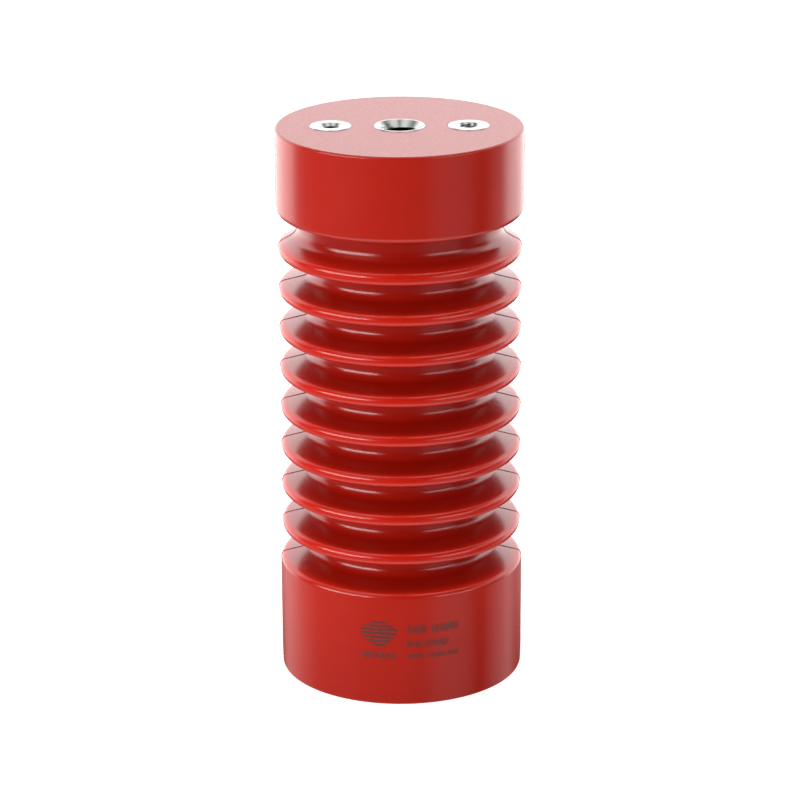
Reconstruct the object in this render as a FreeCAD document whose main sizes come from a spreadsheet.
import FreeCAD, Part
import math
import os

import Sketcher

# Indoor post insulator for switchgear: one cast epoxy body with eight sheds and six cast-in
# threaded metal inserts, three in each end face. The body stands on z = 0 with its axis on +Z.
# The inserts of each face lie on the X axis, and the mould's parting plane is the XZ plane.
# All sizes are in millimetres and degrees.

SIZES = {
    # whole part: height is measured over the metal faces
    "overall_height": 300.0,
    "insert_proud": 0.3,
    "block_radius": 65.0,
    # base block and its shoulder, whose slope is carried on to the block's own radius
    "base_corner_height": 62.25,
    "shoulder_angle": 14.0,
    "base_edge_round": 3.0,
    "foot_edge_round": 0.8,
    # head block
    "head_low_height": 254.0,
    "head_under_round": 3.5,
    "head_rim_round": 1.2,
    # solid core between the blocks, and the wider neck under the head block
    "core_radius": 47.0,
    "neck_radius": 54.0,
    "neck_low_round": 6.5,
    "neck_high_round": 2.2,
    # sheds, counted from the top one down
    "shed_radius": 64.0,
    "top_shed_height": 231.1,
    "shed_pitch": 21.85,
    "shed_rim": 6.15,
    "shed_slope": 14.0,
    "top_shed_slope": 29.0,
    "shed_under_slope": 1.5,
    "shed_low_round": 3.5,
    "shed_high_round": 3.3,
    "root_low_round": 5.0,
    "root_high_round": 4.0,
    # thin ridge left by the mould's joint on the sides of both blocks
    "ridge_proud": 0.35,
    "ridge_width": 0.6,
    "base_ridge_low": 1.0,
    "base_ridge_tall": 57.5,
    "head_ridge_low": 258.0,
    "head_ridge_tall": 40.0,
    # centre insert, tapped M20
    "centre_face_radius": 13.5,
    "centre_face_depth": 8.0,
    "centre_waist_radius": 11.5,
    "centre_hex_radius": 14.2,
    "centre_hex_start": 13.0,
    "centre_hex_length": 18.0,
    "centre_tail_radius": 13.0,
    "centre_tail_start": 37.0,
    "centre_length": 46.0,
    "centre_tail_chamfer": 2.5,
    "centre_bore": 17.5,
    "centre_bore_depth": 35.0,
    "centre_sink": 24.4,
    # side inserts, tapped M10
    "side_spacing": 72.0,
    "side_face_radius": 11.0,
    "side_face_depth": 5.0,
    "side_waist_radius": 8.5,
    "side_hex_radius": 10.8,
    "side_hex_start": 8.0,
    "side_hex_length": 9.0,
    "side_tail_radius": 10.5,
    "side_tail_start": 20.5,
    "side_length": 28.0,
    "side_tail_chamfer": 2.0,
    "side_bore": 8.5,
    "side_bore_depth": 20.0,
    "side_sink": 12.0,
    # both threads: full angle of the countersink and of the drill point
    "sink_angle": 90.0,
    "drill_angle": 118.0,
}

SHED_COUNT = 8

# Heights and slopes that several features share, as sheet expressions.
BODY_HEIGHT = "(Sizes.overall_height - Sizes.insert_proud)"
UNDER_DROP = "tan(Sizes.shed_under_slope * 1 deg)"
TOP_FACE = "Sizes.overall_height"
BOTTOM_FACE = "0"

# node name: (size prefix, sheet expression of its X, mouth height, True when it opens upwards)
INSERTS = {
    "top_centre_insert": ("centre", "0", TOP_FACE, True),
    "top_left_insert": ("side", "-Sizes.side_spacing / 2", TOP_FACE, True),
    "top_right_insert": ("side", "Sizes.side_spacing / 2", TOP_FACE, True),
    "bottom_centre_insert": ("centre", "0", BOTTOM_FACE, False),
    "bottom_left_insert": ("side", "-Sizes.side_spacing / 2", BOTTOM_FACE, False),
    "bottom_right_insert": ("side", "Sizes.side_spacing / 2", BOTTOM_FACE, False),
}


def make_sheet(doc):
    """The spreadsheet of driving sizes, one alias per row."""
    sheet = doc.addObject("Spreadsheet::Sheet", "Sizes")
    for row, (alias, value) in enumerate(SIZES.items(), start=1):
        sheet.set(f"A{row}", alias)
        sheet.set(f"B{row}", str(value))
        sheet.setAlias(f"B{row}", alias)
    doc.recompute()
    return sheet


def make_body(doc, name):
    body = doc.addObject("PartDesign::Body", name)
    body.Label = name
    return body


def origin_feature(body, role):
    return next(item for item in body.Origin.OriginFeatures if item.Role == role)


def sheet_value(feature, expression):
    """What a sheet expression comes to, as a plain number of millimetres."""
    return float(feature.evalExpression(f"({expression}) * 1.0"))


def bind_offset(feature, x="0", height="0"):
    """Ties an attached feature's offset along X and along its plane's second or normal axis."""
    feature.setExpression("AttachmentOffset.Base.x", x)
    axis = "y" if feature.AttachmentSupport[0][0].Role == "XZ_Plane" else "z"
    feature.setExpression(f"AttachmentOffset.Base.{axis}", height)


def profile_sketch(body, name, corners, x="0", height="0", downwards=False):
    """A closed outline on the XZ plane. Corners are pairs of sheet expressions: the distance
    from the sketch's own upright axis and the distance along it, up or downwards."""
    sketch = body.newObject("Sketcher::SketchObject", name)
    sketch.AttachmentSupport = [(origin_feature(body, "XZ_Plane"), "")]
    sketch.MapMode = "FlatFace"
    turn = FreeCAD.Rotation(FreeCAD.Vector(1, 0, 0), 180 if downwards else 0)
    sketch.AttachmentOffset = FreeCAD.Placement(FreeCAD.Vector(), turn)
    bind_offset(sketch, x, height)

    places = [[sheet_value(sketch, part) for part in pair] for pair in corners]
    count = len(places)
    for index in range(count):
        start, end = places[index], places[(index + 1) % count]
        sketch.addGeometry(Part.LineSegment(FreeCAD.Vector(*start, 0), FreeCAD.Vector(*end, 0)))
    for index in range(count):
        sketch.addConstraint(Sketcher.Constraint("Coincident", index, 2, (index + 1) % count, 1))
    for index, (pair, place) in enumerate(zip(corners, places)):
        for kind, axis, part, value in zip(("DistanceX", "DistanceY"), (-2, -1), pair, place):
            if abs(value) < 1e-9:
                sketch.addConstraint(Sketcher.Constraint("PointOnObject", index, 1, axis))
            else:
                row = sketch.addConstraint(Sketcher.Constraint(kind, -1, 1, index, 1, value))
                sketch.setExpression(f"Constraints[{row}]", part)
    return sketch


def turned(body, kind, name, sketch):
    """A full Revolution or Groove of a profile about its sketch's upright axis."""
    feature = body.newObject(f"PartDesign::{kind}", name)
    feature.Profile = sketch
    feature.ReferenceAxis = (sketch, ["V_Axis"])
    feature.Angle = 360
    return feature


def shed_corners(step):
    """The section of one shed, counted down from 0 at the top: its underside drops a little to
    the core, its rim is upright and its top is a cone, steeper and ending on the neck at step 0."""
    foot = f"(Sizes.top_shed_height - Sizes.shed_pitch * {step})"
    slope, root = ("top_shed_slope", "neck_radius") if step == 0 else ("shed_slope", "core_radius")
    under = f"(Sizes.shed_radius - Sizes.core_radius) * {UNDER_DROP}"
    rise = f"(Sizes.shed_radius - Sizes.{root}) * tan(Sizes.{slope} * 1 deg)"
    return [
        ("Sizes.core_radius", f"{foot} - {under}"),
        ("Sizes.shed_radius", foot),
        ("Sizes.shed_radius", f"{foot} + Sizes.shed_rim"),
        (f"Sizes.{root}", f"{foot} + Sizes.shed_rim + {rise}"),
    ]


def round_edges(body, name, base, places, radius):
    """One Fillet on every full circle found at the given (radius, height) places."""
    names = []
    for number, edge in enumerate(base.Shape.Edges, start=1):
        if not isinstance(edge.Curve, Part.Circle):
            continue
        ring, height = edge.Curve.Radius, edge.Curve.Center.z
        if any(math.hypot(ring - r, height - z) < 0.05 for r, z in places):
            names.append(f"Edge{number}")
    if len(names) != len(places):
        raise RuntimeError(f"{name}: {len(names)} edges found for {len(places)} places")
    fillet = body.newObject("PartDesign::Fillet", name)
    fillet.Base = (base, names)
    fillet.setExpression("Radius", f"Sizes.{radius}")
    body.Document.recompute()
    return fillet


def resin_outline(body):
    """The whole casting with sharp corners: base block, core with its sheds, neck, head block."""
    shoulder = ("Sizes.base_corner_height + (Sizes.block_radius - Sizes.core_radius)"
                " * tan(Sizes.shoulder_angle * 1 deg)")
    under = f"Sizes.head_low_height - (Sizes.block_radius - Sizes.neck_radius) * {UNDER_DROP}"
    corners = [
        ("0", "0"),
        ("Sizes.block_radius", "0"),
        ("Sizes.block_radius", "Sizes.base_corner_height"),
        ("Sizes.core_radius", shoulder),
    ]
    for step in reversed(range(SHED_COUNT)):
        corners += shed_corners(step)
    corners += [
        ("Sizes.neck_radius", under),
        ("Sizes.block_radius", "Sizes.head_low_height"),
        ("Sizes.block_radius", BODY_HEIGHT),
        ("0", BODY_HEIGHT),
    ]
    casting = turned(body, "Revolution", "Casting", profile_sketch(body, "CastingOutline", corners))
    body.Document.recompute()
    return casting


def resin_rounds(body, sheet, base):
    """Every rounded edge of the casting, from the places where its cones and rings meet."""
    size = {alias: float(sheet.get(alias)) for alias in SIZES}
    rise = {key: math.tan(math.radians(size[key]))
            for key in ("shed_slope", "top_shed_slope", "shed_under_slope", "shoulder_angle")}
    feet = [size["top_shed_height"] - size["shed_pitch"] * step for step in range(SHED_COUNT)]
    reach = size["shed_radius"] - size["core_radius"]
    rim, core, neck = size["shed_radius"], size["core_radius"], size["neck_radius"]
    block = size["block_radius"]
    body_height = size["overall_height"] - size["insert_proud"]
    shoulder = size["base_corner_height"] + (block - core) * rise["shoulder_angle"]

    groups = [
        ("RootsAbove", "root_high_round",
         [(core, foot - reach * rise["shed_under_slope"]) for foot in feet]),
        ("RootsBelow", "root_low_round",
         [(core, shoulder)] + [(core, foot + size["shed_rim"] + reach * rise["shed_slope"])
                               for foot in feet[1:]]),
        ("NeckBelow", "neck_low_round",
         [(neck, feet[0] + size["shed_rim"] + (rim - neck) * rise["top_shed_slope"])]),
        ("NeckAbove", "neck_high_round",
         [(neck, size["head_low_height"] - (block - neck) * rise["shed_under_slope"])]),
        ("ShedRimsBelow", "shed_low_round", [(rim, foot) for foot in feet]),
        ("ShedRimsAbove", "shed_high_round", [(rim, foot + size["shed_rim"]) for foot in feet]),
        ("BaseEdge", "base_edge_round", [(block, size["base_corner_height"])]),
        ("FootEdge", "foot_edge_round", [(block, 0.0)]),
        ("HeadUnder", "head_under_round", [(block, size["head_low_height"])]),
        ("HeadRim", "head_rim_round", [(block, body_height)]),
    ]
    for name, radius, places in groups:
        base = round_edges(body, name, base, places, radius)
    return base


def resin_ridge(body, name, low, tall):
    """The mould joint's ridge on both sides of a block: a thin plate through the casting."""
    plate = body.newObject("PartDesign::AdditiveBox", name)
    plate.AttachmentSupport = [(origin_feature(body, "XY_Plane"), "")]
    plate.MapMode = "FlatFace"
    half_length = "(Sizes.block_radius + Sizes.ridge_proud)"
    plate.setExpression("Length", f"{half_length} * 2")
    plate.setExpression("Width", "Sizes.ridge_width")
    plate.setExpression("Height", f"Sizes.{tall}")
    bind_offset(plate, f"-{half_length}", f"Sizes.{low}")
    plate.setExpression("AttachmentOffset.Base.y", "-Sizes.ridge_width / 2")
    return plate


def insert_corners(prefix):
    """An insert's turned outline as (radius, depth): face collar, waist and chamfered tail."""
    def cell(name):
        return f"Sizes.{prefix}_{name}"
    taper = f"({cell('face_radius')} - {cell('waist_radius')})"
    return [
        ("0", "0"),
        (cell("face_radius"), "0"),
        (cell("face_radius"), cell("face_depth")),
        (cell("waist_radius"), f"{cell('face_depth')} + {taper}"),
        (cell("waist_radius"), cell("tail_start")),
        (cell("tail_radius"), f"{cell('tail_start')} + {taper}"),
        (cell("tail_radius"), f"{cell('length')} - {cell('tail_chamfer')}"),
        (f"{cell('tail_radius')} - {cell('tail_chamfer')}", cell("length")),
        ("0", cell("length")),
    ]


def insert_envelope(body, name, solid):
    """The outside of one insert, added to a body or, for its seat in the resin, taken away."""
    prefix, x, mouth, upwards = INSERTS[name]
    sketch = profile_sketch(body, f"{name}_outline", insert_corners(prefix), x, mouth, upwards)
    turned(body, "Revolution" if solid else "Groove", f"{name}_turned", sketch)

    start, length = f"Sizes.{prefix}_hex_start", f"Sizes.{prefix}_hex_length"
    kind = "PartDesign::AdditivePrism" if solid else "PartDesign::SubtractivePrism"
    band = body.newObject(kind, f"{name}_hex")
    band.AttachmentSupport = [(origin_feature(body, "XY_Plane"), "")]
    band.MapMode = "FlatFace"
    band.Polygon = 6
    band.setExpression("Circumradius", f"Sizes.{prefix}_hex_radius")
    band.setExpression("Height", length)
    bind_offset(band, x, f"{mouth} - {start} - {length}" if upwards else start)
    body.Document.recompute()


def make_resin_body(doc, sheet):
    body = make_body(doc, "resin_body")
    rounded = resin_rounds(body, sheet, resin_outline(body))
    resin_ridge(body, "BaseRidge", "base_ridge_low", "base_ridge_tall")
    resin_ridge(body, "HeadRidge", "head_ridge_low", "head_ridge_tall")
    doc.recompute()
    whole = body.Shape.Volume
    if whole < rounded.Shape.Volume:
        raise RuntimeError("the ridges took material away")
    for name in INSERTS:
        insert_envelope(body, name, solid=False)
        if body.Shape.Volume >= whole:
            raise RuntimeError(f"{name}: its seat cut nothing")
        whole = body.Shape.Volume
    return body


def make_insert(doc, name):
    """One threaded insert: the turned and hexagonal bar with its countersunk tapping hole."""
    prefix, x, mouth, upwards = INSERTS[name]
    body = make_body(doc, name)
    insert_envelope(body, name, solid=True)
    solid_volume = body.Shape.Volume

    centre = body.newObject("Sketcher::SketchObject", f"{name}_hole_centre")
    centre.AttachmentSupport = [(origin_feature(body, "XY_Plane"), "")]
    centre.MapMode = "FlatFace"
    turn = FreeCAD.Rotation(FreeCAD.Vector(1, 0, 0), 0 if upwards else 180)
    centre.AttachmentOffset = FreeCAD.Placement(FreeCAD.Vector(), turn)
    bind_offset(centre, x, mouth)
    bore = sheet_value(centre, f"Sizes.{prefix}_bore")
    circle = Part.Circle(FreeCAD.Vector(), FreeCAD.Vector(0, 0, 1), bore / 2)
    ring = centre.addGeometry(circle)
    centre.addConstraint(Sketcher.Constraint("Coincident", ring, 3, -1, 1))
    row = centre.addConstraint(Sketcher.Constraint("Diameter", ring, bore))
    centre.setExpression(f"Constraints[{row}]", f"Sizes.{prefix}_bore")
    doc.recompute()

    hole = body.newObject("PartDesign::Hole", f"{name}_hole")
    hole.Profile = centre
    hole.ThreadType = "None"
    hole.DepthType = "Dimension"
    hole.HoleCutType = "Countersink"
    hole.DrillPoint = "Angled"
    hole.setExpression("Diameter", f"Sizes.{prefix}_bore")
    hole.setExpression("Depth", f"Sizes.{prefix}_bore_depth")
    hole.setExpression("HoleCutDiameter", f"Sizes.{prefix}_sink")
    hole.setExpression("HoleCutCountersinkAngle", "Sizes.sink_angle")
    hole.setExpression("DrillPointAngle", "Sizes.drill_angle")
    doc.recompute()
    if not body.Shape.Volume < solid_volume:
        raise RuntimeError(f"{name}: its hole cut nothing")
    return body


def check(doc, bodies):
    for item in doc.Objects:
        if {"Invalid", "Error"} & set(item.State):
            raise RuntimeError(f"{item.Name} failed: {item.State}")
    for body in bodies:
        if body.Shape.isNull() or not body.Shape.isValid() or len(body.Shape.Solids) != 1:
            raise RuntimeError(f"{body.Label} is not one valid solid")


def main():
    doc = FreeCAD.newDocument("PostInsulator")
    sheet = make_sheet(doc)
    bodies = [make_resin_body(doc, sheet)]
    bodies += [make_insert(doc, name) for name in INSERTS]
    doc.recompute()
    check(doc, bodies)
    os.makedirs("parts", exist_ok=True)
    for body in bodies:
        body.Shape.exportStep(f"parts/{body.Label}.step")
        box = body.Shape.optimalBoundingBox(False)
        print(f"{body.Label}: {body.Shape.Volume / 1000:.2f} cm3, X {box.XMin:.2f} {box.XMax:.2f},"
              f" Y {box.YMin:.2f} {box.YMax:.2f}, Z {box.ZMin:.2f} {box.ZMax:.2f}")


main()
